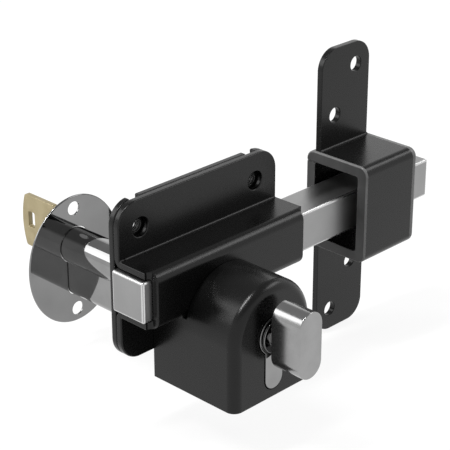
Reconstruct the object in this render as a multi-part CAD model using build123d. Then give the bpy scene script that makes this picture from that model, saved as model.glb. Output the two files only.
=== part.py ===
from build123d import *
import math
import os

# Surface-mounted long-throw lock with its keep, shown locked.
# Millimetres. X runs along the bolt towards the keep, Y into the gate, Z up.
# The origin is on the back plate's rear face, on the cylinder's axis in X, on the bolt's centre in Z.

# Running clearances
slide_gap = 0.4
rear_gap = 0.35
plug_gap = 0.05
turn_gap = 0.35
hole_gap = 0.15
profile_gap = 0.4

# Folded sheet of the case
sheet = 3.0
case_length = 91.5
plate_left = -40.5
plate_top = 36.2
plate_bottom = -33.6
plate_corner = 10.0
bend_outer = 4.5
bend_inner = bend_outer - sheet
crease_inner = 1.0
wall_inset = 2.75
relief_radius = 1.9
relief_inset = 0.9

# Bolt
bolt_side = 18.4
bolt_stand_out = 2.0
bolt_past_keep = 20.15
bolt_edge = 0.7
throw = 75.0

# Mounting holes of the flange, tapped holes and notches of the back plate
mount_inset_left = 12.0
mount_inset_right = 13.1
mount_z = 24.0
flange_hole = 8.2
tapped_hole = 5.2
notch_width = 5.0
notch_depth = 2.0

# Cylinder profile
axis_z = -18.0
round_radius = 8.5
tail_width = 10.0
tail_drop = 19.5
front_length = 40.5
rear_reach = 6.95
cam_gap = 10.0
plug_radius = 6.5
lip_radius = 7.4
lip_thickness = 1.0
stem_radius = 4.5

# Cog and rack
cog_teeth = 12
module = 1.6
pressure_angle = math.radians(20)
rack_addendum = 0.8
cog_addendum = 1.4
flank_gap = 0.3
flank_steps = 4
spare_spaces = 2
overcut = 1.0

# Circlips and the coupler between the plugs
clip_thickness = 0.8
clip_groove_radius = 5.8
clip_radius = 7.8
clip_opening = 50
plug_land = 0.55
bore_radius = 4.5
lug_width = 2.4
lug_reach = 5.9
tongue_width = 3.0
tongue_length = 8.0
tongue_depth = 2.0

# Housing of the cylinder
housing_width = 46.0
housing_bottom = -46.5
housing_wall = 4.0
face_wall = 5.0
housing_round = 4.5
face_setback = 0.3

# Fixing screw of the cylinder
screw_radius = 2.5
screw_head_radius = 4.5
screw_head_height = 2.6
screw_drop = 18.5
screw_reach = 4.0
socket_radius = 1.6
socket_depth = 1.5

# Stop pin and its slot
stop_radius = 3.0
stop_inset = 7.5
stop_reach = 4.0

# Keep
keep_distance = 31.2
keep_length = 35.65
keep_rear = 4.1
keep_front = -31.0
keep_height = 46.2
keep_wall = 5.2
keep_corner = 4.3
keep_inner_corner = 1.2
keep_rim = 1.0
keep_far_rim = 2.0
seam_width = 0.5
seam_depth = 0.8
leg_inset = 1.3
leg_width = 32.0
leg_tip = 69.4
leg_corner = 9.5
leg_hole = 7.0
leg_hole_out = 58.9
leg_hole_in = 38.1
leg_hole_side = 6.7

# Escutcheon
gate = 69.5
plate_thickness = 1.0
oval_width = 53.4
oval_height = 62.0
oval_drop = 7.2
oval_hole = 6.5
oval_hole_out = 25.0
oval_edge = 0.25

# Thumbturn
knob_width = 13.3
knob_height = 29.6
knob_depth = 15.4
knob_gap = 2.7
knob_z = -15.8
knob_edge = 0.5
stem_depth = 10.0
grub_radius = 2.0
grub_length = 5.0
grub_socket = 1.0

# Key, keyway and pins
key_thickness = 2.2
key_above = 3.4
key_below = 3.6
blade_length = 31.0
keyway_gap = 0.1
bow_thickness = 2.5
bow_inner = 3.0
bow_outer = 105.0
bow_top = -2.6
bow_bottom = -28.3
bow_bulge = 2.2
bow_corner = 1.4
bow_slot_y = 98.6
bow_slot_rise = 0.9
bow_slot_height = 7.8
bow_slot_width = 4.4
bow_slot_corner = 0.8
pin_count = 5
pin_pitch = 5.0
first_pin = 8.0
pin_hole = 1.5
key_pin = 1.45
driver_pin = 1.4
driver_length = 4.6
pin_tip = 0.7
pin_rise = 0.25
key_cuts = (1.0, 0.5, 1.4, 0.8, 1.2)
cut_flat = 0.8
cut_flare = 0.9
spring_radius = 1.05
spring_wire = 0.22
spring_turns = 4
blank_length = 3.2
blank_inset = 0.4

# Positions that follow from the sizes above
plate_right = plate_left + case_length
mount_x = (plate_left + mount_inset_left, plate_right - mount_inset_right)
stop_x = plate_left + stop_inset
keep_left = plate_right + keep_distance
keep_right = keep_left + keep_length
bolt_left = plate_left - bolt_stand_out
bolt_right = keep_right + bolt_past_keep
bolt_half = bolt_side / 2
flange_rear = -sheet
flange_front = -2 * sheet
bolt_rear = flange_rear - rear_gap
bolt_front = bolt_rear - bolt_side
cam_y = (bolt_rear + bolt_front) / 2
channel_top = bolt_half + slide_gap + sheet
channel_front = bolt_front - slide_gap - sheet
body_front = cam_y - front_length
body_rear = gate + plate_thickness + rear_reach
housing_front = body_front + face_setback
tail_radius = tail_width / 2
body_bottom = axis_z - tail_drop - tail_radius
pitch_radius = -bolt_half - axis_z + rack_addendum
cog_radius = pitch_radius + cog_addendum
cog_root = pitch_radius - rack_addendum - turn_gap
rack_root = axis_z + cog_radius + turn_gap
rack_pitch = 2 * math.pi * pitch_radius / cog_teeth
cog_half = cam_gap / 2 - turn_gap - clip_thickness - plug_land
bow_middle = (bow_top + bow_bottom) / 2
shear_z = axis_z - plug_radius
window_half = cog_radius + 2 * turn_gap
key_shoulder = body_rear + turn_gap + lip_thickness
pin_places = [body_rear - first_pin - pin_pitch * i for i in range(pin_count)]
leg_left = keep_left + leg_inset
leg_right = leg_left + leg_width
leg_x = (leg_left + leg_right) / 2


def along_y(sketch, front, rear):
    """Extrude a sketch drawn in X and Z between two depths."""
    plane = Plane((0, rear, 0), x_dir=(1, 0, 0), z_dir=(0, -1, 0))
    return extrude(plane * sketch, amount=rear - front)


def along_x(sketch, left, right):
    """Extrude a sketch drawn in Y and Z between two X values."""
    plane = Plane((left, 0, 0), x_dir=(0, 1, 0), z_dir=(1, 0, 0))
    return extrude(plane * sketch, amount=right - left)


def along_z(sketch, low, high):
    """Extrude a sketch drawn in X and Y between two heights."""
    return extrude(Pos(0, 0, low) * sketch, amount=high - low)


def block(x_range, y_range, z_range):
    """Box between pairs of limits."""
    size = [high - low for low, high in (x_range, y_range, z_range)]
    centre = [(high + low) / 2 for low, high in (x_range, y_range, z_range)]
    return Pos(*centre) * Box(*size)


def disc(radius, x, z):
    """Circle at a place in the X-Z plane."""
    return Pos(x, z) * Circle(radius)


def polygon(points):
    """Closed face through the given points."""
    return make_face(Polyline(*points, close=True))


def round_corners(sketch, corners):
    """Fillet the sketch vertices nearest to the given points."""
    for point, radius in corners:
        vertex = sketch.vertices().sort_by_distance((point[0], point[1], 0))[0]
        sketch = fillet(vertex, radius)
    return sketch


def euro_profile(gap=0.0):
    """Cylinder section: a round head and a straight tail with a round end."""
    tail_low = axis_z - tail_drop
    head = disc(round_radius + gap, 0, axis_z)
    tail = Pos(0, (axis_z + tail_low) / 2) * Rectangle(tail_width + 2 * gap, tail_drop)
    end = disc(tail_radius + gap, 0, tail_low)
    return head + tail + end


def keyhole():
    """Opening that lets the cylinder pass with its cog, open at the plates' lower edge."""
    low = plate_bottom - sheet
    slot = Pos(0, (axis_z + low) / 2) * Rectangle(tail_width + 2 * turn_gap, axis_z - low)
    return disc(window_half, 0, axis_z) + slot


def plate_outline():
    """Outline that the flanges and the back plate share."""
    width = plate_right - plate_left
    height = plate_top - plate_bottom
    centre = Pos((plate_left + plate_right) / 2, (plate_top + plate_bottom) / 2)
    return centre * RectangleRounded(width, height, plate_corner)


def case_channel():
    """Hat-section sheet: flanges, channel walls, bend reliefs, clearance holes."""
    inside_top = channel_top - sheet
    inside_front = channel_front + sheet
    upper = [
        (flange_rear, plate_top),
        (flange_front, plate_top),
        (flange_front, channel_top),
        (channel_front, channel_top),
    ]
    lower = [
        (channel_front, -channel_top),
        (flange_front, -channel_top),
        (flange_front, plate_bottom),
        (flange_rear, plate_bottom),
    ]
    inner = [
        (flange_rear, -inside_top),
        (inside_front, -inside_top),
        (inside_front, inside_top),
        (flange_rear, inside_top),
    ]
    corners = []
    for side in (1, -1):
        corners.append(((channel_front, side * channel_top), bend_outer))
        corners.append(((inside_front, side * inside_top), bend_inner))
        corners.append(((flange_front, side * channel_top), crease_inner))
        corners.append(((flange_rear, side * inside_top), crease_inner + sheet))
    section = round_corners(polygon(upper + lower + inner), corners)
    body = along_x(section, plate_left, plate_right)
    flange_zone = along_y(plate_outline(), flange_front, flange_rear)
    channel_zone = block(
        (plate_left, plate_right), (channel_front, flange_front), (-channel_top, channel_top)
    )
    body = body & (flange_zone + channel_zone)
    bend_y = channel_front + bend_outer
    for edge, inward in ((plate_left, 1), (plate_right, -1)):
        limits = sorted((edge - inward, edge + inward * wall_inset))
        body -= block(
            limits, (channel_front - sheet, bend_y - relief_radius), (-plate_top, plate_top)
        )
        relief = Pos(edge + inward * relief_inset, bend_y - relief_radius) * Circle(relief_radius)
        body -= along_z(relief, -channel_top - sheet, channel_top + sheet)
    for x in mount_x:
        body -= along_y(disc(flange_hole / 2, x, mount_z), flange_front, flange_rear)
    body -= along_y(keyhole(), flange_front, flange_rear)
    window_top = axis_z + round_radius + 2 * hole_gap
    body -= block(
        (-window_half, window_half),
        (channel_front - sheet, flange_front),
        (-channel_top - sheet, window_top),
    )
    return body


def back_plate():
    """Flat plate behind the flanges, with tapped holes and two notches in its top edge."""
    body = along_y(plate_outline(), flange_rear, 0)
    for x in mount_x:
        body -= along_y(disc(tapped_hole / 2, x, mount_z), flange_rear, 0)
        body -= block(
            (x - notch_width / 2, x + notch_width / 2),
            (flange_rear, 0),
            (plate_top - notch_depth, plate_top + notch_depth),
        )
    body -= along_y(keyhole(), flange_rear, 0)
    body -= along_y(disc(stop_radius, stop_x, 0), flange_rear, 0)
    return body


def stop_pin():
    """Pin riveted into the back plate; it rides in the bolt's rear slot."""
    pin = along_y(disc(stop_radius, stop_x, 0), flange_rear - stop_reach, 0)
    tip = pin.edges().filter_by(GeomType.CIRCLE).sort_by(Axis.Y)[0]
    return chamfer(tip, bolt_edge)


def bolt():
    """Square bar with bevelled edges, a rack in its underside and a stop slot behind."""
    body = block((bolt_left, bolt_right), (bolt_front, bolt_rear), (-bolt_half, bolt_half))
    body = chamfer(body.edges(), bolt_edge)
    pitch_z = axis_z + pitch_radius
    flare = math.tan(pressure_angle)
    half = rack_pitch / 4 + flank_gap / 2
    low = -bolt_half - overcut
    mouth = half + (pitch_z - low) * flare
    floor = half - (rack_root - pitch_z) * flare
    space = polygon([(-mouth, low), (mouth, low), (floor, rack_root), (-floor, rack_root)])
    rack_half = cog_half + 4 * turn_gap
    last = math.ceil(throw / rack_pitch) + spare_spaces
    for i in range(-spare_spaces, last + 1):
        gap = Pos(i * rack_pitch, 0) * space
        body -= along_y(gap, cam_y - rack_half, cam_y + rack_half)
    reach = stop_radius + slide_gap
    slot = Pos(stop_x + throw / 2, 0) * SlotOverall(throw + 2 * reach, 2 * reach)
    depth = stop_reach - rear_gap + slide_gap
    body -= along_y(slot, bolt_rear - depth, bolt_rear)
    return body


def cylinder_housing():
    """Arched block round the cylinder: rounded front edge, open rear, profile hole."""
    half = housing_width / 2
    outline = disc(half, 0, axis_z) + Pos(0, (axis_z + housing_bottom) / 2) * Rectangle(
        housing_width, axis_z - housing_bottom
    )
    body = along_y(outline, housing_front, flange_front)
    rim = body.faces().sort_by(Axis.Y)[0].outer_wire().edges().sort_by(Axis.Z)[1:]
    body = fillet(rim, housing_round)
    inner = half - housing_wall
    low = housing_bottom + housing_wall
    hollow = disc(inner, 0, axis_z) + Pos(0, (axis_z + low) / 2) * Rectangle(
        2 * inner, axis_z - low
    )
    body -= along_y(hollow, housing_front + face_wall, flange_front)
    body -= block(
        (-housing_width, housing_width), (channel_front, flange_front), (-channel_top, plate_top)
    )
    body -= along_y(euro_profile(profile_gap), housing_front, housing_front + face_wall)
    screw_line = Pos(cam_y, axis_z - screw_drop) * Circle(screw_radius + hole_gap)
    body -= along_x(screw_line, 0, housing_width)
    return body


def cylinder_body():
    """Profile body with plug bore, cam gap, fixing-screw hole and pin chambers."""
    body = along_y(euro_profile(), body_front, body_rear)
    body -= along_y(disc(plug_radius + plug_gap, 0, axis_z), body_front, body_rear)
    body -= block(
        (-round_radius - overcut, round_radius + overcut),
        (cam_y - cam_gap / 2, cam_y + cam_gap / 2),
        (axis_z - cog_radius - turn_gap, axis_z + round_radius + overcut),
    )
    screw_line = Pos(cam_y, axis_z - screw_drop) * Circle(screw_radius)
    body -= along_x(screw_line, -tail_width, tail_width)
    for y in pin_places:
        body -= along_z(Pos(0, y) * Circle(pin_hole), body_bottom - overcut, shear_z + pin_hole)
    return body


def cylinder_screw():
    """Screw through the housing's side into the cylinder, with a pan head and a socket."""
    line = Pos(cam_y, axis_z - screw_drop)
    side = housing_width / 2
    shank = along_x(line * Circle(screw_radius), -screw_reach, side)
    head = along_x(line * Circle(screw_head_radius), side, side + screw_head_height)
    rim = head.edges().filter_by(GeomType.CIRCLE).sort_by(Axis.X)[-1]
    head = fillet(rim, screw_head_height / 2)
    top = side + screw_head_height
    socket = along_x(line * RegularPolygon(socket_radius, 6), top - socket_depth, top)
    return shank + head - socket


def plug(inner, outer):
    """Plug core between the cog and its outer end, with the clip groove near the cog."""
    low, high = sorted((inner, outer))
    core = along_y(disc(plug_radius, 0, axis_z), low, high)
    side = 1 if outer > inner else -1
    start = inner + side * plug_land
    groove = sorted((start, start + side * clip_thickness))
    ring = disc(plug_radius + overcut, 0, axis_z) - disc(clip_groove_radius, 0, axis_z)
    return core - along_y(ring, *groove)


def tongue():
    """Flat on both ends of the coupler that drives the plugs."""
    half = cog_half + tongue_depth
    return block(
        (-tongue_width / 2, tongue_width / 2),
        (cam_y - half, cam_y + half),
        (axis_z - tongue_length / 2, axis_z + tongue_length / 2),
    )


def turn_plug():
    """Plug of the thumbturn side with its lip and stem."""
    inner = cam_y - cog_half
    lip_rear = body_front - turn_gap
    lip_front = lip_rear - lip_thickness
    knob_rear = lip_front - knob_gap
    body = plug(inner, lip_front)
    body += along_y(disc(lip_radius, 0, axis_z), lip_front, lip_rear)
    body += along_y(disc(stem_radius, 0, axis_z), knob_rear - stem_depth, lip_front)
    return body - tongue()


def knob():
    """Stadium-shaped thumbturn with a blind bore for the stem and a tapped grub hole."""
    rear = body_front - turn_gap - lip_thickness - knob_gap
    front = rear - knob_depth
    outline = Pos(0, knob_z) * SlotOverall(knob_height, knob_width, rotation=90)
    body = along_y(outline, front, rear)
    body = fillet(body.edges().filter_by(Axis.Y, reverse=True), knob_edge)
    body -= along_y(disc(stem_radius, 0, axis_z), rear - stem_depth, rear)
    grub = Pos(0, rear - stem_depth / 2) * Circle(grub_radius)
    body -= along_z(grub, knob_z - knob_height, axis_z)
    return body


def knob_screw():
    """Grub screw that holds the knob on the stem, with a hexagon socket."""
    rear = body_front - turn_gap - lip_thickness - knob_gap
    high = axis_z - stem_radius
    low = high - grub_length
    place = Pos(0, rear - stem_depth / 2)
    body = along_z(place * Circle(grub_radius), low, high)
    return body - along_z(place * RegularPolygon(grub_socket, 6), low, low + grub_length / 2)


def cog_outline():
    """Twelve involute teeth; one stands upright on the rack's middle space."""
    base = pitch_radius * math.cos(pressure_angle)
    involute = math.tan(pressure_angle) - pressure_angle
    half = (rack_pitch - 2 * flank_gap) / 4 / pitch_radius
    flank = [(cog_root, half + involute)]
    for i in range(flank_steps + 1):
        radius = base + (cog_radius - base) * i / flank_steps
        roll = math.acos(base / radius)
        flank.append((radius, half + involute - (math.tan(roll) - roll)))
    points = []
    for i in range(cog_teeth):
        middle = math.pi / 2 + 2 * math.pi * i / cog_teeth
        tooth = [(r, middle - a) for r, a in flank] + [(r, middle + a) for r, a in reversed(flank)]
        points += [(r * math.cos(a), axis_z + r * math.sin(a)) for r, a in tooth]
    return polygon(points)


def coupler_section():
    """Round core with two lugs, as it sits in the cog's bore."""
    lugs = Pos(0, axis_z) * Rectangle(2 * lug_reach, lug_width)
    return disc(bore_radius, 0, axis_z) + lugs


def cog():
    """Gear of the cylinder that drives the bolt's rack."""
    return along_y(cog_outline() - coupler_section(), cam_y - cog_half, cam_y + cog_half)


def coupler():
    """Core that joins both plugs and the cog."""
    return along_y(coupler_section(), cam_y - cog_half, cam_y + cog_half) + tongue()


def circlips():
    """Two open rings in the plugs' grooves."""
    ring = disc(clip_radius, 0, axis_z) - disc(clip_groove_radius, 0, axis_z)
    reach = 2 * clip_radius
    spread = reach * math.tan(math.radians(clip_opening / 2))
    ring -= polygon([(0, axis_z), (-spread, axis_z + reach), (spread, axis_z + reach)])
    start = cog_half + plug_land
    front = along_y(ring, cam_y - start - clip_thickness, cam_y - start)
    rear = along_y(ring, cam_y + start, cam_y + start + clip_thickness)
    return [front, rear]


def key_plug():
    """Keyed plug with its lip, keyway and five pin holes."""
    lip_front = body_rear + turn_gap
    body = plug(cam_y + cog_half, lip_front)
    body += along_y(disc(lip_radius, 0, axis_z), lip_front, key_shoulder)
    half = key_thickness / 2 + keyway_gap
    body -= block(
        (-half, half),
        (key_shoulder - blade_length - keyway_gap, key_shoulder),
        (axis_z - lip_radius, axis_z + key_above + keyway_gap),
    )
    for y in pin_places:
        body -= along_z(Pos(0, y) * Circle(pin_hole), shear_z - overcut, axis_z)
    return body - tongue()


def key():
    """Key with a plain fan-shaped bow, a slot and five cuts."""
    tip = key_shoulder - blade_length
    low = axis_z - key_below
    high = axis_z + key_above
    half = key_thickness / 2
    blade = block((-half, half), (tip, key_shoulder + bow_inner), (low, high))
    nose = blade.edges().filter_by(Axis.X).group_by(Axis.Y)[0]
    blade = chamfer(nose, key_below / 2)
    for y, depth in zip(pin_places, key_cuts):
        foot = cut_flat + depth * cut_flare
        top = low + depth
        cut = polygon([(y - foot, low), (y - cut_flat, top), (y + cut_flat, top), (y + foot, low)])
        blade -= along_x(cut, -key_thickness, key_thickness)
    inner = key_shoulder + bow_inner
    edge = bow_outer - bow_bulge
    sides = Polyline((edge, bow_bottom), (inner, bow_bottom), (inner, bow_top), (edge, bow_top))
    outer = ThreePointArc((edge, bow_top), (bow_outer, bow_middle), (edge, bow_bottom))
    bow = make_face(sides + outer)
    bow = fillet(bow.vertices(), bow_corner)
    bow -= Pos(bow_slot_y, bow_middle + bow_slot_rise) * RectangleRounded(
        bow_slot_width, bow_slot_height, bow_slot_corner
    )
    return blade + along_x(bow, -bow_thickness / 2, bow_thickness / 2)


def key_pins():
    """Pins that stand on the key's cuts, level with the plug."""
    pins = []
    foot = shear_z + pin_rise
    for y, depth in zip(pin_places, key_cuts):
        top = axis_z - key_below + depth
        pin = along_z(Pos(0, y) * Circle(key_pin), foot, top)
        tip = pin.edges().filter_by(GeomType.CIRCLE).sort_by(Axis.Z)[-1]
        pins.append(chamfer(tip, pin_tip))
    return pins


def driver_pins():
    """Pins below the shear line."""
    high = shear_z - turn_gap
    return [
        along_z(Pos(0, y) * Circle(driver_pin), high - driver_length, high) for y in pin_places
    ]


def pin_springs():
    """Springs between the driver pins and the chamber plugs."""
    high = shear_z - turn_gap - driver_length
    low = body_bottom + blank_length
    height = high - low - 2 * spring_wire
    springs = []
    for y in pin_places:
        path = Helix(height / spring_turns, height, spring_radius)
        start = Plane(origin=path @ 0, z_dir=path % 0)
        wire = sweep(start * RegularPolygon(spring_wire, 5), path=path, is_frenet=True)
        springs.append(Pos(0, y, low + spring_wire) * wire)
    return springs


def chamber_plugs():
    """Plugs that close the pin chambers from below."""
    low = body_bottom + blank_inset
    high = body_bottom + blank_length
    return [along_z(Pos(0, y) * Circle(pin_hole), low, high) for y in pin_places]


def keep_tube():
    """Thick-walled square tube with rounded rims; its rear wall is set in between two seams."""
    depth = keep_rear - keep_front
    centre = Pos((keep_rear + keep_front) / 2, 0)
    outline = centre * RectangleRounded(depth, keep_height, keep_corner)
    opening = centre * RectangleRounded(
        depth - 2 * keep_wall, keep_height - 2 * keep_wall, keep_inner_corner
    )
    body = along_x(outline, keep_left, keep_right)
    ends = body.faces().sort_by(Axis.X)
    body = fillet(ends[0].outer_wire().edges(), keep_rim)
    body = fillet(body.faces().sort_by(Axis.X)[-1].outer_wire().edges(), keep_far_rim)
    body -= along_x(opening, keep_left, keep_right)
    for side in (1, -1):
        seam = Pos(keep_rear, side * (keep_height / 2 - keep_wall)) * Rectangle(
            2 * (keep_wall + keep_inner_corner), seam_width
        )
        body -= along_x(seam, keep_left, keep_left + seam_depth)
    return body


def keep_leg(side):
    """Strap leg above (1) or below (-1) the tube, with two staggered holes."""
    low = keep_height / 2
    outline = Pos(leg_x, side * (low + leg_tip) / 2) * Rectangle(leg_width, leg_tip - low)
    tips = [((leg_left, side * leg_tip), leg_corner), ((leg_right, side * leg_tip), leg_corner)]
    outline = round_corners(outline, tips)
    outer = disc(leg_hole / 2, leg_x + side * leg_hole_side, side * leg_hole_out)
    inner = disc(leg_hole / 2, leg_x - side * leg_hole_side, side * leg_hole_in)
    return along_y(outline - outer - inner, -sheet, 0)


def escutcheon():
    """Oval plate with the profile hole and two screw holes."""
    middle = axis_z - oval_drop
    oval = Pos(0, middle) * Ellipse(oval_width / 2, oval_height / 2)
    body = along_y(oval, gate, gate + plate_thickness)
    body = chamfer(body.edges(), oval_edge)
    holes = euro_profile(2 * hole_gap)
    for side in (1, -1):
        holes += disc(oval_hole / 2, 0, middle + side * oval_hole_out)
    return body - along_y(holes, gate, gate + plate_thickness)


def write(name, shape):
    """Write one sub-part; a list becomes one compound of separate solids."""
    if isinstance(shape, list):
        shape = Compound(children=[piece.solid() for piece in shape])
    export_step(shape, f"parts/{name}.step")


os.makedirs("parts", exist_ok=True)

write("case_channel", case_channel())
write("back_plate", back_plate())
write("stop_pin", stop_pin())
write("bolt", bolt())
write("cylinder_housing", cylinder_housing())
write("cylinder_body", cylinder_body())
write("cylinder_screw", cylinder_screw())
write("turn_plug", turn_plug())
write("knob", knob())
write("knob_screw", knob_screw())
write("cog", cog())
write("coupler", coupler())
write("circlips", circlips())
write("key_plug", key_plug())
write("key", key())
write("key_pins", key_pins())
write("driver_pins", driver_pins())
write("pin_springs", pin_springs())
write("chamber_plugs", chamber_plugs())
write("keep_tube", keep_tube())
write("keep_leg_upper", keep_leg(1))
write("keep_leg_lower", keep_leg(-1))
write("escutcheon", escutcheon())
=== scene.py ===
"""Looks of a surface-mounted long-throw gate lock with its keep, shown locked.

Every piece stands where the frame has it, in metres: X along the bolt, Y into the gate, Z up.
Visible solids are rebuilt as merged meshes with their small edge rounds, and dressed.
"""

import logging
import math
from dataclasses import dataclass
from enum import Enum, IntEnum

import bmesh
import bpy
from mathutils import Matrix, Vector


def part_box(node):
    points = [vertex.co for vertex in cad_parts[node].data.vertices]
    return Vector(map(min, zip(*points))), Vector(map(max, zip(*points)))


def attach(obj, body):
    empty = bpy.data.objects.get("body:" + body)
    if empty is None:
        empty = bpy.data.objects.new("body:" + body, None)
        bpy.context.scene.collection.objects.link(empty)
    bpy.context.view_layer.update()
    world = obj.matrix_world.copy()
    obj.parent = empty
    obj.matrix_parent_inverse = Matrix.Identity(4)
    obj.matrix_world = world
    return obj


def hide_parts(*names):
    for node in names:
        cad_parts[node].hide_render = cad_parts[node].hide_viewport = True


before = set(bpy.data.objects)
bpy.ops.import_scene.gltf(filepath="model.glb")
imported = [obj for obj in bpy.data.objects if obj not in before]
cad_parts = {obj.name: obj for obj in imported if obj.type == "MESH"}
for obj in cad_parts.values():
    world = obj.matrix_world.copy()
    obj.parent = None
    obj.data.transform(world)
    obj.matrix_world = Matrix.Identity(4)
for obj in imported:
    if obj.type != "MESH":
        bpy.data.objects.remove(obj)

LOG = logging.getLogger("rim_lock")
MM = 0.001
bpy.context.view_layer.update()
WHITE = (1.0, 1.0, 1.0, 1.0)

# Vertices nearer than this are one vertex, and faces that meet at less than this angle one flat.
MERGE_DISTANCE = 0.002 * MM
FLAT_ANGLE = math.radians(0.5)

# Edges that turn more than this are edges to the eye, and each is rounded in this many steps.
SHARP_ANGLE = math.radians(32)
ROUND_STEPS = 3

# How far large faces set the shading beside them, from 1 to 100, where 50 is even.
AREA_PULL = 60

# Noise values between which the colour drifts and the gloss varies, and the noise's fineness.
DRIFT_SPAN = (0.35, 0.65)
DRIFT_DETAIL = 2.0
GLOSS_SPAN = (0.3, 0.7)
GRAIN_DETAIL = 3.0
GRAIN_ROUGHNESS = 0.55


class Body(Enum):
    """The bodies of the lock, fixed and moving."""

    CASE = "case"
    BOLT = "bolt"
    ROTOR = "rotor"


class Slot(Enum):
    """The record's material slots, one listed with each rebuilt piece."""

    BLACK = "black_coat"
    BOLT = "bolt_steel"
    CYLINDER = "cylinder_chrome"
    KNOB = "knob_chrome"
    OVAL = "oval_chrome"
    STEEL = "plain_steel"
    KEY = "key_brass"


class TubeFace(IntEnum):
    """Material indices of the keep's tube beside that of its coat, which is 0."""

    PAINTED_HIGHLIGHT = 1
    PAINTED_LIGHT_END = 2


# Colours and nodes


def linear(code: str) -> tuple[float, float, float, float]:
    """Turn an sRGB hex colour into linear values, by the curve of the sRGB standard.

    Args:
        code: Six hex digits with a leading hash.

    Returns:
        Red, green, blue and an opacity of 1.
    """
    parts = [int(code[i : i + 2], 16) / 255 for i in (1, 3, 5)]
    red, green, blue = [
        c / 12.92 if c <= 0.04045 else ((c + 0.055) / 1.055) ** 2.4 for c in parts
    ]
    return red, green, blue, 1.0


def add_node(
    tree: bpy.types.NodeTree,
    kind: str,
    links: dict[str | int, bpy.types.NodeSocket] | None = None,
    values: dict[str | int, object] | None = None,
    **settings: object,
) -> bpy.types.Node:
    """Add a node with its settings, socket values and links.

    Args:
        tree: Node tree that takes it.
        kind: Node type.
        links: Output sockets by the name or number of the input they feed.
        values: Socket values by input name or number.
        settings: Attributes of the node.

    Returns:
        The new node.
    """
    node = tree.nodes.new(kind)
    for name, value in settings.items():
        setattr(node, name, value)
    for key, value in (values or {}).items():
        node.inputs[key].default_value = value
    for key, source in (links or {}).items():
        tree.links.new(source, node.inputs[key])
    return node


def seen_or_mirrored(tree: bpy.types.NodeTree) -> bpy.types.NodeSocket:
    """Tell the rays that show a surface to the eye, straight or by way of metal or glass.

    Args:
        tree: Node tree that takes the nodes.

    Returns:
        A socket that is 1 for camera, glossy and transmission rays and 0 for the others.
    """
    path = add_node(tree, "ShaderNodeLightPath").outputs
    first = add_node(
        tree,
        "ShaderNodeMath",
        {0: path["Is Camera Ray"], 1: path["Is Glossy Ray"]},
        operation="MAXIMUM",
    )
    both = add_node(
        tree,
        "ShaderNodeMath",
        {0: first.outputs["Value"], 1: path["Is Transmission Ray"]},
        operation="MAXIMUM",
    )
    return both.outputs["Value"]


def per_mm(size: float) -> float:
    """Return the texture scale whose features are about this many millimetres across."""
    return 1 / (size * MM)


@dataclass(frozen=True)
class Finish:
    """A surface: base colour, gloss and the fine structure that its making leaves.

    Attributes:
        name: Name of the material.
        dark: Darker sRGB end of its slight colour drift.
        light: Lighter sRGB end of it.
        metallic: 1 for metal, 0 for a coat.
        roughness: Lowest and highest roughness.
        drift: Feature size of the colour drift in millimetres.
        grain: Feature size of the grain along X, Y and Z in millimetres.
        relief: Depth of the grain in millimetres.
        strength: Share of that depth that shows.
        anisotropic: How far highlights are drawn out, from 0 to 1.
        specular: Level of a coat's plain reflection, where 0.5 is that of the default index.
    """

    name: str
    dark: str
    light: str
    metallic: float
    roughness: tuple[float, float]
    drift: float
    grain: tuple[float, float, float]
    relief: float
    strength: float
    anisotropic: float = 0.0
    specular: float = 0.5

    def build(self) -> bpy.types.Material:
        """Make the material.

        Returns:
            A material with colour drift, gloss variation and grain relief.
        """
        material = bpy.data.materials.new(self.name)
        material.use_nodes = True
        tree = material.node_tree
        tree.nodes.clear()
        place = add_node(tree, "ShaderNodeTexCoord")
        wide = add_node(
            tree,
            "ShaderNodeTexNoise",
            {"Vector": place.outputs["Object"]},
            {"Scale": per_mm(self.drift), "Detail": DRIFT_DETAIL},
        )
        colour = add_node(tree, "ShaderNodeValToRGB", {"Fac": wide.outputs["Fac"]})
        stops = zip(colour.color_ramp.elements, DRIFT_SPAN, (self.dark, self.light))
        for stop, position, code in stops:
            stop.position = position
            stop.color = linear(code)
        stretch = add_node(
            tree,
            "ShaderNodeMapping",
            {"Vector": place.outputs["Object"]},
            {"Scale": tuple(per_mm(size) for size in self.grain)},
        )
        fine = add_node(
            tree,
            "ShaderNodeTexNoise",
            {"Vector": stretch.outputs["Vector"]},
            {"Scale": 1.0, "Detail": GRAIN_DETAIL, "Roughness": GRAIN_ROUGHNESS},
        )
        gloss = add_node(
            tree,
            "ShaderNodeMapRange",
            {"Value": fine.outputs["Fac"]},
            {
                "From Min": GLOSS_SPAN[0],
                "From Max": GLOSS_SPAN[1],
                "To Min": self.roughness[0],
                "To Max": self.roughness[1],
            },
        )
        bump = add_node(
            tree,
            "ShaderNodeBump",
            {"Height": fine.outputs["Fac"]},
            {"Strength": self.strength, "Distance": self.relief * MM},
        )
        shader = add_node(
            tree,
            "ShaderNodeBsdfPrincipled",
            {
                "Base Color": colour.outputs["Color"],
                "Roughness": gloss.outputs["Result"],
                "Normal": bump.outputs["Normal"],
            },
            {
                "Metallic": self.metallic,
                "Anisotropic": self.anisotropic,
                "Specular IOR Level": self.specular,
            },
        )
        add_node(tree, "ShaderNodeOutputMaterial", {"Surface": shader.outputs["BSDF"]})
        return material


# Polyester powder coat on mild steel, baked: satin black with a soft orange peel, its dimples
# about a millimetre across.
POWDER_COAT = Finish(
    name="powder_coat_satin_black",
    dark="#050505",
    light="#080808",
    metallic=0.0,
    roughness=(0.24, 0.30),
    drift=14.0,
    grain=(0.9, 0.9, 0.9),
    relief=0.02,
    strength=0.35,
    specular=0.29,
)
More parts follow.
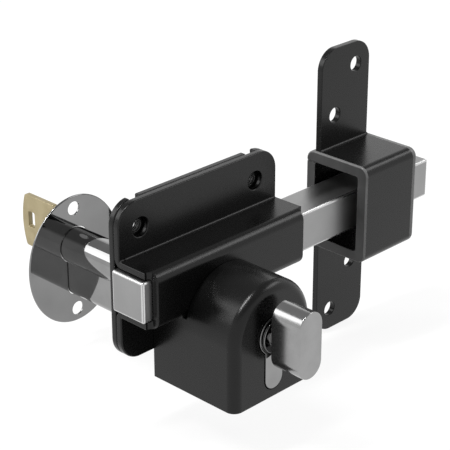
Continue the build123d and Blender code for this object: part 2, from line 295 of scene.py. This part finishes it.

# The same powder in a lighter, duller grey on the tube's end faces and the thread ridges: painted
# light, standing in for the light that the end faces catch.
PAINTED_LIGHT_COAT = Finish(
    name="powder_coat_painted_light_grey",
    dark="#383838",
    light="#404040",
    metallic=0.0,
    roughness=(0.38, 0.46),
    drift=8.0,
    grain=(0.5, 0.5, 0.5),
    relief=0.02,
    strength=0.35,
    specular=0.35,
)

# The same powder in a lighter grey along the tube's rims: a painted highlight, a light line all
# round.
PAINTED_HIGHLIGHT_RIM_COAT = Finish(
    name="powder_coat_painted_rim_highlight",
    dark="#606060",
    light="#6a6a6a",
    metallic=0.0,
    roughness=(0.34, 0.42),
    drift=8.0,
    grain=(0.5, 0.5, 0.5),
    relief=0.02,
    strength=0.35,
    specular=0.35,
)

# Edge rounds of the bar in a lighter, finer steel than its flats: a painted highlight.
PAINTED_HIGHLIGHT_EDGE_STEEL = Finish(
    name="stainless_steel_painted_edge_highlight",
    dark="#c4c4c4",
    light="#cecece",
    metallic=1.0,
    roughness=(0.20, 0.28),
    drift=12.0,
    grain=(2.0, 2.0, 2.0),
    relief=0.004,
    strength=0.3,
)

# Stainless bar with a linear belt finish along its length. The real scratches are about
# 0.05 mm apart, drawn at 0.35 mm so that they show.
SATIN_STEEL = Finish(
    name="stainless_steel_belt_ground",
    dark="#929292",
    light="#999999",
    metallic=1.0,
    roughness=(0.32, 0.40),
    drift=22.0,
    grain=(30.0, 0.35, 0.35),
    relief=0.012,
    strength=0.4,
    anisotropic=0.3,
)

# Brass cylinder with polished chromium plate: mirror gloss, faint polishing haze.
POLISHED_CHROME = Finish(
    name="chromium_plate_polished",
    dark="#8b8b8b",
    light="#919191",
    metallic=1.0,
    roughness=(0.03, 0.07),
    drift=9.0,
    grain=(2.0, 2.0, 2.0),
    relief=0.002,
    strength=0.2,
)

# Rolled plate, mirror polished before plating: the flattest gloss on the object.
MIRROR_CHROME = Finish(
    name="chromium_plate_mirror",
    dark="#838383",
    light="#888888",
    metallic=1.0,
    roughness=(0.02, 0.045),
    drift=18.0,
    grain=(6.0, 6.0, 6.0),
    relief=0.002,
    strength=0.2,
)

# Die-cast thumbturn, plated over a satin ground: softer highlights than the cylinder.
SATIN_CHROME = Finish(
    name="chromium_plate_satin",
    dark="#939393",
    light="#999999",
    metallic=1.0,
    roughness=(0.14, 0.19),
    drift=7.0,
    grain=(0.4, 0.4, 0.4),
    relief=0.006,
    strength=0.25,
)

# Bright zinc plate on turned steel: slightly blue, with a fine even grain from the turning.
ZINC_PLATE = Finish(
    name="zinc_plate_on_turned_steel",
    dark="#9a9da1",
    light="#abaeb2",
    metallic=1.0,
    roughness=(0.26, 0.36),
    drift=4.0,
    grain=(0.25, 0.25, 0.25),
    relief=0.006,
    strength=0.35,
)

# Turned brass of the pins: warm yellow. The real tool marks are about 0.1 mm apart, drawn at
# 0.3 mm so that they show.
TURNED_BRASS = Finish(
    name="brass_turned",
    dark="#b08d4e",
    light="#c9a866",
    metallic=1.0,
    roughness=(0.24, 0.34),
    drift=3.0,
    grain=(0.3, 0.3, 0.3),
    relief=0.005,
    strength=0.3,
)

# Stamped key blank of pale brass, tumbled: matt, with soft mottling.
TUMBLED_BRASS = Finish(
    name="brass_pale_tumbled",
    dark="#a69a7a",
    light="#b0a484",
    metallic=1.0,
    roughness=(0.42, 0.52),
    drift=5.0,
    grain=(0.5, 0.5, 0.5),
    relief=0.01,
    strength=0.35,
)


# Meshes


def box_in_mm(node: str) -> tuple[Vector, Vector]:
    """Return the lowest and the highest corner of a frame node's box in millimetres."""
    low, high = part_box(node)
    return low / MM, high / MM


def merged_copy(node: str) -> bmesh.types.BMesh:
    """Copy a node's mesh with its doubles merged and its flats joined.

    Args:
        node: Name of the frame's node.

    Returns:
        The merged mesh, to be freed by whoever takes it.
    """
    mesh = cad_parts[node].data.copy()
    for layer in ("custom_normal", "sharp_edge", "sharp_face"):
        if layer in mesh.attributes:
            mesh.attributes.remove(mesh.attributes[layer])
    shape = bmesh.new()
    shape.from_mesh(mesh)
    bpy.data.meshes.remove(mesh)
    bmesh.ops.remove_doubles(shape, verts=shape.verts, dist=MERGE_DISTANCE)
    bmesh.ops.dissolve_limit(
        shape, angle_limit=FLAT_ANGLE, verts=shape.verts, edges=shape.edges
    )
    return shape


def new_object(name: str, shape: bmesh.types.BMesh) -> bpy.types.Object:
    """Turn a mesh under work into an object at the origin.

    Args:
        name: Name of the piece.
        shape: The mesh, freed here.

    Returns:
        The new object.
    """
    mesh = bpy.data.meshes.new(name)
    shape.to_mesh(mesh)
    shape.free()
    piece = bpy.data.objects.new(name, mesh)
    bpy.context.scene.collection.objects.link(piece)
    return piece


def freeze(piece: bpy.types.Object) -> None:
    """Turn what the modifiers make into the piece's own plain mesh.

    Args:
        piece: Object with live modifiers, which it loses.
    """
    bpy.context.view_layer.update()
    graph = bpy.context.evaluated_depsgraph_get()
    mesh = bpy.data.meshes.new_from_object(piece.evaluated_get(graph))
    old = piece.data
    piece.modifiers.clear()
    piece.data = mesh
    mesh.name = piece.name
    bpy.data.meshes.remove(old)


def weigh_edges(piece: bpy.types.Object, shortest: float) -> None:
    """Mark the sharp edges that are to be rounded.

    Args:
        piece: Object with a merged mesh.
        shortest: Length in millimetres below which an edge is left as it is.
    """
    shape = bmesh.new()
    shape.from_mesh(piece.data)
    weight = shape.edges.layers.float.new("bevel_weight_edge")
    for edge in shape.edges:
        long_enough = edge.calc_length() >= shortest * MM
        if long_enough and edge.is_manifold and edge.calc_face_angle() > SHARP_ANGLE:
            edge[weight] = 1.0
    shape.to_mesh(piece.data)
    shape.free()


def soften(piece: bpy.types.Object, width: float, shortest: float, edge_index: int) -> None:
    """Round the sharp edges a little, even out the shading and keep the result as a plain mesh.

    Args:
        piece: Object with a merged mesh and its materials.
        width: Round's width in millimetres.
        shortest: Length in millimetres below which an edge is left as it is.
        edge_index: Material index of the rounds.
    """
    weigh_edges(piece, shortest)
    bevel = piece.modifiers.new("edge_round", "BEVEL")
    bevel.width = width * MM
    bevel.segments = ROUND_STEPS
    bevel.limit_method = "WEIGHT"
    bevel.use_clamp_overlap = False
    bevel.material = edge_index
    freeze(piece)
    piece.data.shade_smooth()
    piece.data.set_sharp_from_angle(angle=SHARP_ANGLE)
    shading = piece.modifiers.new("even_shading", "WEIGHTED_NORMAL")
    shading.keep_sharp = True
    shading.weight = AREA_PULL
    freeze(piece)


def corners_of(mesh: bpy.types.Mesh) -> tuple[Vector, Vector]:
    """Find the box of a mesh.

    Args:
        mesh: Mesh to measure.

    Returns:
        Its lowest and its highest corner.
    """
    places = [vertex.co for vertex in mesh.vertices]
    low = Vector(min(place[axis] for place in places) for axis in range(3))
    high = Vector(max(place[axis] for place in places) for axis in range(3))
    return low, high


def geometry_tree(name: str, inputs: dict[str, str]) -> bpy.types.NodeTree:
    """Start a geometry node group.

    Args:
        name: Name of the group.
        inputs: Socket type of each input, by its name.

    Returns:
        The group with its input node, whose first output is the geometry.
    """
    tree = bpy.data.node_groups.new(name, "GeometryNodeTree")
    tree.interface.new_socket("Geometry", in_out="INPUT", socket_type="NodeSocketGeometry")
    for title, kind in inputs.items():
        tree.interface.new_socket(title, in_out="INPUT", socket_type=kind)
    tree.interface.new_socket("Geometry", in_out="OUTPUT", socket_type="NodeSocketGeometry")
    add_node(tree, "NodeGroupInput")
    return tree


def end_tree(
    tree: bpy.types.NodeTree, result: bpy.types.NodeSocket, material: bpy.types.NodeSocket
) -> None:
    """Close a geometry node group with smooth shading, plain geometry and its material.

    Args:
        tree: Group to close.
        result: Socket that carries the geometry.
        material: Socket that carries the material.
    """
    plain = add_node(tree, "GeometryNodeRealizeInstances", {"Geometry": result})
    smooth = add_node(tree, "GeometryNodeSetShadeSmooth", {"Geometry": plain.outputs["Geometry"]})
    dressed = add_node(
        tree,
        "GeometryNodeSetMaterial",
        {"Geometry": smooth.outputs["Geometry"], "Material": material},
    )
    add_node(tree, "NodeGroupOutput", {"Geometry": dressed.outputs["Geometry"]})


def grow(piece: bpy.types.Object, tree: bpy.types.NodeTree, values: dict[str, object]) -> None:
    """Run a geometry node group on the piece and keep the result as its plain mesh.

    Args:
        piece: Object with the path or the points.
        tree: Group to run.
        values: Input values by socket name.
    """
    growth = piece.modifiers.new(tree.name, "NODES")
    growth.node_group = tree
    for socket in tree.interface.items_tree:
        if socket.in_out == "INPUT" and socket.name in values:
            growth[socket.identifier] = values[socket.name]
    freeze(piece)


def dress(piece: bpy.types.Object, *materials: bpy.types.Material) -> None:
    """Give the piece its materials.

    Args:
        piece: Object to dress.
        materials: Its materials, the first of which it has all over.
    """
    piece.data.materials.clear()
    for material in materials:
        piece.data.materials.append(material)


def settle(
    piece: bpy.types.Object, body: Body, nodes: tuple[str, ...] = ()
) -> None:
    """Make the piece ride on its body and what it stands for.

    Args:
        piece: Finished piece.
        body: Body that carries it.
        nodes: Frame nodes that it stands for.
    """
    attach(piece, body.value)
    if nodes:
        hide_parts(*nodes)
    LOG.info("%s: %d faces on %s", piece.name, len(piece.data.polygons), body.value)


# Pieces


class Finishes:
    """All materials of the lock, each made once."""

    def __init__(self) -> None:
        """Build the materials."""
        self.coat = POWDER_COAT.build()
        # Lighter grey painted as light on the tube's end faces, also laid on the thread ridges.
        self.painted_light = PAINTED_LIGHT_COAT.build()
        # Lighter grey painted as a highlight on the tube's rims.
        self.painted_highlight_rim = PAINTED_HIGHLIGHT_RIM_COAT.build()
        self.steel = SATIN_STEEL.build()
        # Lighter steel painted as a highlight on the bolt's edge rounds.
        self.painted_edge_highlight = PAINTED_HIGHLIGHT_EDGE_STEEL.build()
        self.polished = POLISHED_CHROME.build()
        self.mirror = MIRROR_CHROME.build()
        self.satin = SATIN_CHROME.build()
        self.zinc = ZINC_PLATE.build()
        self.pin = TURNED_BRASS.build()
        self.key = TUMBLED_BRASS.build()


@dataclass
class Rebuilt:
    """A visible solid rebuilt with small edge rounds.

    Attributes:
        node: Frame node that it stands for.
        body: Body that carries it.
        slot: Record's material slot; not used.
        edge: Width of its edge rounds in millimetres.
        shortest: Length in millimetres below which an edge is left sharp.
    """

    node: str
    body: Body
    slot: Slot
    edge: float
    shortest: float = 0.0

    def make(
        self, material: bpy.types.Material, *edges: bpy.types.Material
    ) -> bpy.types.Object:
        """Build, dress and settle the piece.

        Args:
            material: Its finish.
            edges: Finish of its edge rounds, where that is another one.

        Returns:
            The finished piece.
        """
        piece = new_object(f"{self.node}_skin", self.shape())
        dress(piece, material, *edges)
        soften(piece, self.edge, self.shortest, len(edges))
        settle(piece, self.body, (self.node,))
        return piece

    def shape(self) -> bmesh.types.BMesh:
        """Return the mesh that the piece is rounded from."""
        return merged_copy(self.node)


@dataclass
class Case:
    """Folded channel with its flanges, the plate behind and the housing of the cylinder.

    Attributes:
        sheet_edge: Width of the sheets' edge rounds in millimetres.
        housing_edge: Width of the housing's edge rounds in millimetres.
        shortest: Length below which the channel's edges stay sharp, in millimetres.
    """

    sheet_edge: float = 0.6
    housing_edge: float = 0.3
    shortest: float = 0.35

    def make(self, looks: Finishes) -> None:
        """Build the case's pieces.

        Args:
            looks: Materials of the lock.
        """
        channel = Rebuilt("case_channel", Body.CASE, Slot.BLACK, self.sheet_edge, self.shortest)
        channel.make(looks.coat)
        Rebuilt("back_plate", Body.CASE, Slot.BLACK, self.sheet_edge).make(looks.coat)
        Rebuilt("cylinder_housing", Body.CASE, Slot.BLACK, self.housing_edge).make(looks.coat)


@dataclass
class Bolt:
    """Square bar with its rack.

    Attributes:
        edge: Width of its edge rounds in millimetres.
    """

    edge: float = 0.35

    def make(self, looks: Finishes) -> None:
        """Build the bolt."""
        # Its edge rounds take a lighter steel, a painted highlight.
        Rebuilt("bolt", Body.BOLT, Slot.BOLT, self.edge).make(looks.steel, looks.painted_edge_highlight)


@dataclass
class Cylinder:
    """Profile cylinder, its plugs, thumbturn, key and fixing screw.

    Attributes:
        body_edge: Width of the edge rounds of the turned and plated pieces, in millimetres.
        knob_edge: Width of the thumbturn's edge rounds in millimetres.
        key_edge: Width of the key's edge rounds in millimetres.
    """

    body_edge: float = 0.2
    knob_edge: float = 0.25
    key_edge: float = 0.2

    def make(self, looks: Finishes) -> None:
        """Build the cylinder's pieces.

        Args:
            looks: Materials of the lock.
        """
        Rebuilt("cylinder_body", Body.CASE, Slot.CYLINDER, self.body_edge).make(looks.polished)
        Rebuilt("turn_plug", Body.ROTOR, Slot.CYLINDER, self.body_edge).make(looks.polished)
        Rebuilt("key_plug", Body.ROTOR, Slot.CYLINDER, self.body_edge).make(looks.polished)
        Rebuilt("knob", Body.ROTOR, Slot.KNOB, self.knob_edge).make(looks.satin)
        Rebuilt("key", Body.ROTOR, Slot.KEY, self.key_edge).make(looks.key)
        Rebuilt("cylinder_screw", Body.CASE, Slot.STEEL, self.body_edge).make(looks.zinc)


@dataclass
class Oval:
    """Oval plate on the far side of the gate.

    Attributes:
        edge: Width of its edge rounds in millimetres.
    """

    edge: float = 0.15

    def make(self, looks: Finishes) -> None:
        """Build the oval plate."""
        Rebuilt("escutcheon", Body.CASE, Slot.OVAL, self.edge).make(looks.mirror)


@dataclass
class Tube(Rebuilt):
    """The keep's tube, whose faces are split along the edge of the painted highlight band at its
    far end.

    Attributes:
        painted_highlight_rim: Width of the near end's painted highlight rim in millimetres.
        far_rim: Width of the painted highlight band at the far end in millimetres.
        skin: Depth from the outside within which a face is an outer one, in millimetres.
        end_face: Share of a face's normal along X above which it is an end face.
    """

    painted_highlight_rim: float = 1.1
    far_rim: float = 3.3
    skin: float = 3.0
    end_face: float = 0.9

    def shape(self) -> bmesh.types.BMesh:
        """Split the tube's faces along the band's edge.

        Returns:
            The mesh that the tube is rounded from.
        """
        tube = merged_copy(self.node)
        end = max(vertex.co.x for vertex in tube.verts)
        bmesh.ops.bisect_plane(
            tube,
            geom=[*tube.verts, *tube.edges, *tube.faces],
            plane_co=(end - self.far_rim * MM, 0.0, 0.0),
            plane_no=(1.0, 0.0, 0.0),
        )
        return tube

    def mark_ends(
        self, tube: bpy.types.Object, painted_highlight_rim: bpy.types.Material, painted_light: bpy.types.Material
    ) -> None:
        """Give the outer rims their painted highlight and the end faces their painted light.

        Args:
            tube: Finished tube.
            painted_highlight_rim: Finish of the rims, a lighter grey painted as a highlight.
            painted_light: Finish of the end faces, a lighter grey painted as the light they catch.
        """
        tube.data.materials.append(painted_highlight_rim)
        tube.data.materials.append(painted_light)
        low, high = corners_of(tube.data)
        for face in tube.data.polygons:
            centre = face.center
            below, above = centre - low, high - centre
            depth = min(below.y, above.y, below.z, above.z)
            at_rim = below.x < self.painted_highlight_rim * MM or above.x < self.far_rim * MM
            if abs(face.normal.x) > self.end_face:
                # End faces take the lighter grey of painted light.
                face.material_index = TubeFace.PAINTED_LIGHT_END
            elif depth < self.skin * MM and at_rim:
                # Outer faces near the ends take the lighter grey of a painted highlight.
                face.material_index = TubeFace.PAINTED_HIGHLIGHT


@dataclass
class Keep:
    """Square tube with its two strap legs.

    Attributes:
        edge: Width of their edge rounds in millimetres.
    """

    edge: float = 0.35

    def make(self, looks: Finishes) -> None:
        """Build the keep's pieces.

        Args:
            looks: Materials of the lock.
        """
        tube = Tube("keep_tube", Body.CASE, Slot.BLACK, self.edge)
        # The tube's rims and end faces take lighter greys: a painted highlight and painted light.
        tube.mark_ends(tube.make(looks.coat), looks.painted_highlight_rim, looks.painted_light)
        Rebuilt("keep_leg_upper", Body.CASE, Slot.BLACK, self.edge).make(looks.coat)
        Rebuilt("keep_leg_lower", Body.CASE, Slot.BLACK, self.edge).make(looks.coat)


@dataclass(frozen=True)
class Corner:
    """An inside corner that runs in X, in millimetres.

    Attributes:
        start: X at its left end.
        end: X at its right end.
        depth: Its Y.
        height: Its Z.
    """

    start: float
    end: float
    depth: float
    height: float


@dataclass
class CornerBeads:
    """Rounded beads along inside corners.

    Attributes:
        name: Name of the piece.
        radius: Radius of the bead in millimetres.
        sunk: How far its centre lies inside the corner, in millimetres.
        sides: Number of its sides.
    """

    name: str
    radius: float
    sunk: float = 0.0
    sides: int = 20

    def tree(self) -> bpy.types.NodeTree:
        """Make the node group that sweeps a round profile along the piece's edges.

        Returns:
            The group, with the inputs Radius, Sides and Material.
        """
        tree = geometry_tree(
            "swept_bead",
            {
                "Radius": "NodeSocketFloat",
                "Sides": "NodeSocketInt",
                "Material": "NodeSocketMaterial",
            },
        )
        given = tree.nodes["Group Input"].outputs
        path = add_node(tree, "GeometryNodeMeshToCurve", {"Mesh": given["Geometry"]})
        profile = add_node(
            tree,
            "GeometryNodeCurvePrimitiveCircle",
            {"Radius": given["Radius"], "Resolution": given["Sides"]},
        )
        swept = add_node(
            tree,
            "GeometryNodeCurveToMesh",
            {"Curve": path.outputs["Curve"], "Profile Curve": profile.outputs["Curve"]},
            {"Fill Caps": True},
        )
        end_tree(tree, swept.outputs["Mesh"], given["Material"])
        return tree

    def make(self, corners: list[Corner], looks: Finishes) -> None:
        """Build the beads.

        Args:
            corners: Where they run.
            looks: Materials of the lock.
        """
        shape = bmesh.new()
        for corner in corners:
            y = (corner.depth + self.sunk) * MM
            z = (corner.height - math.copysign(self.sunk, corner.height)) * MM
            ends = [shape.verts.new((x * MM, y, z)) for x in (corner.start, corner.end)]
            shape.edges.new(ends)
        piece = new_object(self.name, shape)
        values = {"Radius": self.radius * MM, "Sides": self.sides, "Material": looks.coat}
        grow(piece, self.tree(), values)
        settle(piece, Body.CASE)


@dataclass
class Joins:
    """Beads of pooled powder and weld tacks where the black pieces meet.

    Attributes:
        sheet: Thickness of the case's sheet in millimetres.
        wall: Height of the channel's outer walls above and below its middle, in millimetres.
        bead_radius: Radius of the powder's beads in millimetres.
        bead_sunk: How far their centres lie inside the corners, in millimetres.
        left_inset: Distance of the channel's beads from its left end, in millimetres.
        right_inset: Distance of them from its right end, in millimetres.
        tack_radius: Radius of the tacks in millimetres.
        tack_outside: How far a tack reaches out of the housing's side, in millimetres.
        tack_inside: How far it reaches into the housing, in millimetres.
        tack_depth: How far its centre lies behind the channel's front, in millimetres.
        tack_rise: How far its centre lies above the channel's lower wall, in millimetres.
    """

    sheet: float = 3.0
    wall: float = 12.6
    bead_radius: float = 0.8
    bead_sunk: float = 0.1
    left_inset: float = 3.0
    right_inset: float = 2.5
    tack_radius: float = 1.3
    tack_outside: float = 1.0
    tack_inside: float = 2.4
    tack_depth: float = 1.75
    tack_rise: float = 1.4

    def pooled_corners(self) -> list[Corner]:
        """Find where the flanges meet the channel and the legs meet the tube.

        Returns:
            The upper and the lower corner of the channel, then of the tube.
        """
        channel_low, channel_high = box_in_mm("case_channel")
        start = channel_low.x + self.left_inset
        end = channel_high.x - self.right_inset
        front = box_in_mm("back_plate")[0].y - self.sheet
        leg_low, leg_high = box_in_mm("keep_leg_upper")
        return [
            Corner(start, end, front, self.wall),
            Corner(start, end, front, -self.wall),
            Corner(leg_low.x, leg_high.x, leg_low.y, leg_low.z),
            Corner(leg_low.x, leg_high.x, leg_low.y, -leg_low.z),
        ]

    def tack_corners(self) -> list[Corner]:
        """Find the gaps between the channel's lower bend and the housing's sides.

        Returns:
            The left and the right gap.
        """
        depth = box_in_mm("case_channel")[0].y + self.tack_depth
        height = self.tack_rise - self.wall
        low, high = box_in_mm("cylinder_housing")
        return [
            Corner(low.x - self.tack_outside, low.x + self.tack_inside, depth, height),
            Corner(high.x - self.tack_inside, high.x + self.tack_outside, depth, height),
        ]

    def make(self, looks: Finishes) -> None:
        """Build the beads and the tacks.

        Args:
            looks: Materials of the lock.
        """
        beads = CornerBeads("corner_beads", self.bead_radius, self.bead_sunk)
        beads.make(self.pooled_corners(), looks)
        CornerBeads("housing_tacks", self.tack_radius).make(self.tack_corners(), looks)


@dataclass
class TappedThreads:
    """Thread ridges in the two tapped holes of the back plate.

    Attributes:
        radius: Radius of the bore in millimetres.
        pitch: Pitch in millimetres.
        length: Threaded length in millimetres.
        ridge: Radius of the ridge in millimetres.
        turn_steps: Segments of each turn.
        ridge_sides: Number of the ridge's sides.
        left_inset: Distance of the left hole from the plate's left end, in millimetres.
        right_inset: Distance of the right hole from the plate's right end, in millimetres.
        height: Height of the holes in millimetres.
    """

    radius: float = 2.6
    pitch: float = 1.0
    length: float = 3.0
    ridge: float = 0.28
    turn_steps: int = 28
    ridge_sides: int = 8
    left_inset: float = 12.0
    right_inset: float = 13.1
    height: float = 24.0

    def tree(self) -> bpy.types.NodeTree:
        """Make the node group that sets a helical ridge on each point.

        Returns:
            The group, with the inputs Radius, Length, Turns, Turn Steps, Ridge, Ridge Sides and
            Material.
        """
        tree = geometry_tree(
            "thread_ridges",
            {
                "Radius": "NodeSocketFloat",
                "Length": "NodeSocketFloat",
                "Turns": "NodeSocketFloat",
                "Turn Steps": "NodeSocketInt",
                "Ridge": "NodeSocketFloat",
                "Ridge Sides": "NodeSocketInt",
                "Material": "NodeSocketMaterial",
            },
        )
        given = tree.nodes["Group Input"].outputs
        helix = add_node(
            tree,
            "GeometryNodeCurveSpiral",
            {
                "Resolution": given["Turn Steps"],
                "Rotations": given["Turns"],
                "Start Radius": given["Radius"],
                "End Radius": given["Radius"],
                "Height": given["Length"],
            },
        )
        profile = add_node(
            tree,
            "GeometryNodeCurvePrimitiveCircle",
            {"Radius": given["Ridge"], "Resolution": given["Ridge Sides"]},
        )
        ridge = add_node(
            tree,
            "GeometryNodeCurveToMesh",
            {"Curve": helix.outputs["Curve"], "Profile Curve": profile.outputs["Curve"]},
            {"Fill Caps": True},
        )
        points = add_node(tree, "GeometryNodeMeshToPoints", {"Mesh": given["Geometry"]})
        # The ridge winds up Z, and a quarter turn lays it from the plate's rear face to its front.
        placed = add_node(
            tree,
            "GeometryNodeInstanceOnPoints",
            {"Points": points.outputs["Points"], "Instance": ridge.outputs["Mesh"]},
            {"Rotation": (math.radians(90), 0, 0)},
        )
        end_tree(tree, placed.outputs["Instances"], given["Material"])
        return tree

    def make(self, looks: Finishes) -> None:
        """Build the ridges of both holes.

        Args:
            looks: Materials of the lock.
        """
        low, high = box_in_mm("back_plate")
        shape = bmesh.new()
        for x in (low.x + self.left_inset, high.x - self.right_inset):
            shape.verts.new((x * MM, high.y * MM, self.height * MM))
        piece = new_object("tapped_threads", shape)
        # The ridges take the same lighter grey that is painted as light on the tube's ends.
        values = {
            "Radius": self.radius * MM,
            "Length": self.length * MM,
            "Turns": self.length / self.pitch,
            "Turn Steps": self.turn_steps,
            "Ridge": self.ridge * MM,
            "Ridge Sides": self.ridge_sides,
            "Material": looks.painted_light,
        }
        grow(piece, self.tree(), values)
        settle(piece, Body.CASE)


@dataclass
class Mechanism:
    """Inner pieces, which keep the frame's own solids.

    Attributes:
        plated: Nodes of zinc-plated steel.
        turned: Nodes of turned brass.
    """

    plated: tuple[str, ...] = (
        "stop_pin",
        "knob_screw",
        "cog",
        "coupler",
        "circlips",
        "pin_springs",
    )
    turned: tuple[str, ...] = ("key_pins", "driver_pins", "chamber_plugs")

    def make(self, looks: Finishes) -> None:
        """Dress the inner pieces.

        Args:
            looks: Materials of the lock.
        """
        for names, material in ((self.plated, looks.zinc), (self.turned, looks.pin)):
            for name in names:
                dress(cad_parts[name], material)
                LOG.info("%s: dressed", name)


# Light and camera


@dataclass(frozen=True)
class Softbox:
    """A rectangular area lamp.

    Attributes:
        name: What it is called.
        place: Where it hangs, in metres.
        size: Width and height in metres.
        power: Power in watts.
    """

    name: str
    place: tuple[float, float, float]
    size: tuple[float, float]
    power: float

    def make(self, target: Vector) -> None:
        """Hang the lamp and turn it to the target.

        Args:
            target: Point that it shines at.
        """
        lamp = bpy.data.lights.new(self.name, "AREA")
        lamp.shape = "RECTANGLE"
        lamp.size, lamp.size_y = self.size
        lamp.energy = self.power
        holder = bpy.data.objects.new(self.name, lamp)
        holder.location = self.place
        beam = target - Vector(self.place)
        holder.rotation_euler = beam.to_track_quat("-Z", "Y").to_euler()
        bpy.context.scene.collection.objects.link(holder)


# Soft light from the right front and from behind on both sides, and a narrow lamp overhead that
# draws the bright streak along the housing's arch.
SOFTBOXES = (
    Softbox("softbox_right_front", place=(0.81, -0.50, 0.76), size=(0.7, 0.3), power=3.0),
    Softbox("softbox_overhead", place=(-0.44, 0.10, 1.01), size=(0.11, 0.60), power=10.0),
    Softbox("softbox_back_right", place=(0.81, 0.76, 0.49), size=(1.1, 0.5), power=0.5),
    Softbox("softbox_back_left", place=(-0.62, 0.75, 0.56), size=(0.5, 0.6), power=2.9),
)


@dataclass
class Studio:
    """Camera at the photograph's place, pale floor, soft lamps and a plain surround.

    Attributes:
        camera_place: Where the camera stands, in metres.
        right: Direction of the camera's right.
        up: Direction of its upper side.
        ahead: Direction in which it looks.
        focal_pixels: Focal length in pixels of the photograph.
        frame_pixels: Width of the photograph in pixels.
        sensor: Width of the sensor in millimetres.
        clip_start: Nearest distance that the camera sees, in metres.
        lamp_target: Point that the lamps shine at, in metres.
        floor_height: Height of the floor in metres.
        floor_radius: Radius of the floor in metres.
        floor_sides: Number of the floor's sides.
        paper: Colour of the floor as light falls on it, on which the shadow shows.
        glow: White that the eye and the metal see on top of that colour.
        backdrop_top: Height of a ray's direction up to which the surround is white.
        ceiling_from: Height of it from which the surround is the ceiling.
        ceiling: Level of the ceiling, where 1 is white.
    """

    camera_place: tuple[float, float, float] = (-0.41599, -0.43351, 0.28753)
    right: tuple[float, float, float] = (0.6998, -0.7144, -0.0022)
    up: tuple[float, float, float] = (0.2978, 0.2889, 0.9099)
    ahead: tuple[float, float, float] = (0.6493, 0.6373, -0.4149)
    focal_pixels: float = 1589.93
    frame_pixels: float = 450.0
    sensor: float = 36.0
    clip_start: float = 0.01
    lamp_target: tuple[float, float, float] = (0.03, -0.01, -0.01)
    floor_height: float = -0.0705
    floor_radius: float = 3.0
    floor_sides: int = 96
    paper: str = "#6e6e6e"
    glow: float = 0.86
    backdrop_top: float = 0.45
    ceiling_from: float = 0.6
    ceiling: float = 0.42

    def camera(self) -> None:
        """Place the camera by its three axes."""
        data = bpy.data.cameras.new("camera")
        data.sensor_width = self.sensor
        data.lens = self.focal_pixels * self.sensor / self.frame_pixels
        data.clip_start = self.clip_start
        holder = bpy.data.objects.new("camera", data)
        back = -Vector(self.ahead)
        turn = Matrix((self.right, self.up, back)).transposed()
        holder.matrix_world = Matrix.Translation(self.camera_place) @ turn.to_4x4()
        bpy.context.scene.collection.objects.link(holder)
        bpy.context.scene.camera = holder

    def paper_floor(self) -> bpy.types.Material:
        """Make the floor's paper: near white to the eye and in the metal, grey for other rays.

        Returns:
            The material, which glows for camera, glossy and transmission rays alone.
        """
        material = bpy.data.materials.new("paper_floor")
        material.use_nodes = True
        tree = material.node_tree
        tree.nodes.clear()
        paper = add_node(tree, "ShaderNodeBsdfDiffuse", values={"Color": linear(self.paper)})
        glow = add_node(
            tree, "ShaderNodeEmission", values={"Color": WHITE, "Strength": self.glow}
        )
        white = add_node(
            tree, "ShaderNodeAddShader", {0: paper.outputs["BSDF"], 1: glow.outputs["Emission"]}
        )
        mixed = add_node(
            tree,
            "ShaderNodeMixShader",
            {
                0: seen_or_mirrored(tree),
                1: paper.outputs["BSDF"],
                2: white.outputs["Shader"],
            },
        )
        add_node(tree, "ShaderNodeOutputMaterial", {"Surface": mixed.outputs["Shader"]})
        return material

    def floor(self) -> None:
        """Lay the floor, on which the object throws its faint shadow."""
        shape = bmesh.new()
        bmesh.ops.create_circle(
            shape, cap_ends=True, segments=self.floor_sides, radius=self.floor_radius
        )
        bmesh.ops.translate(shape, verts=shape.verts, vec=(0, 0, self.floor_height))
        ground = new_object("floor", shape)
        dress(ground, self.paper_floor())

    def surround(self) -> None:
        """Make the world, which lights the object at a plain level.

        It is white to the camera. For all other rays it is white up to the backdrop's top, with
        a darker ceiling above.
        """
        world = bpy.data.worlds.new("surround")
        bpy.context.scene.world = world
        world.use_nodes = True
        tree = world.node_tree
        tree.nodes.clear()
        path = add_node(tree, "ShaderNodeLightPath")
        way = add_node(tree, "ShaderNodeTexCoord")
        parts = add_node(tree, "ShaderNodeSeparateXYZ", {0: way.outputs["Generated"]})
        level = add_node(
            tree,
            "ShaderNodeMapRange",
            {"Value": parts.outputs["Z"]},
            {
                "From Min": self.backdrop_top,
                "From Max": self.ceiling_from,
                "To Min": 1.0,
                "To Max": self.ceiling,
            },
        )
        plain = add_node(
            tree, "ShaderNodeBackground", {"Strength": level.outputs["Result"]}, {"Color": WHITE}
        )
        seen = add_node(tree, "ShaderNodeBackground", values={"Color": WHITE, "Strength": 1.0})
        mixed = add_node(
            tree,
            "ShaderNodeMixShader",
            {
                0: path.outputs["Is Camera Ray"],
                1: plain.outputs["Background"],
                2: seen.outputs["Background"],
            },
        )
        add_node(tree, "ShaderNodeOutputWorld", {"Surface": mixed.outputs["Shader"]})

    def lamps(self) -> None:
        """Hang the softboxes."""
        for box in SOFTBOXES:
            box.make(Vector(self.lamp_target))

    def make(self) -> None:
        """Set up everything round the object."""
        self.camera()
        self.floor()
        self.surround()
        self.lamps()
        bpy.context.scene.view_settings.view_transform = "Standard"


def main() -> None:
    """Build the lock's looks and its studio."""
    logging.basicConfig(level=logging.INFO, format="%(name)s %(message)s")
    looks = Finishes()
    Case().make(looks)
    Bolt().make(looks)
    Cylinder().make(looks)
    Oval().make(looks)
    Keep().make(looks)
    Joins().make(looks)
    TappedThreads().make(looks)
    Mechanism().make(looks)
    Studio().make()


if __name__ == "__main__":
    main()
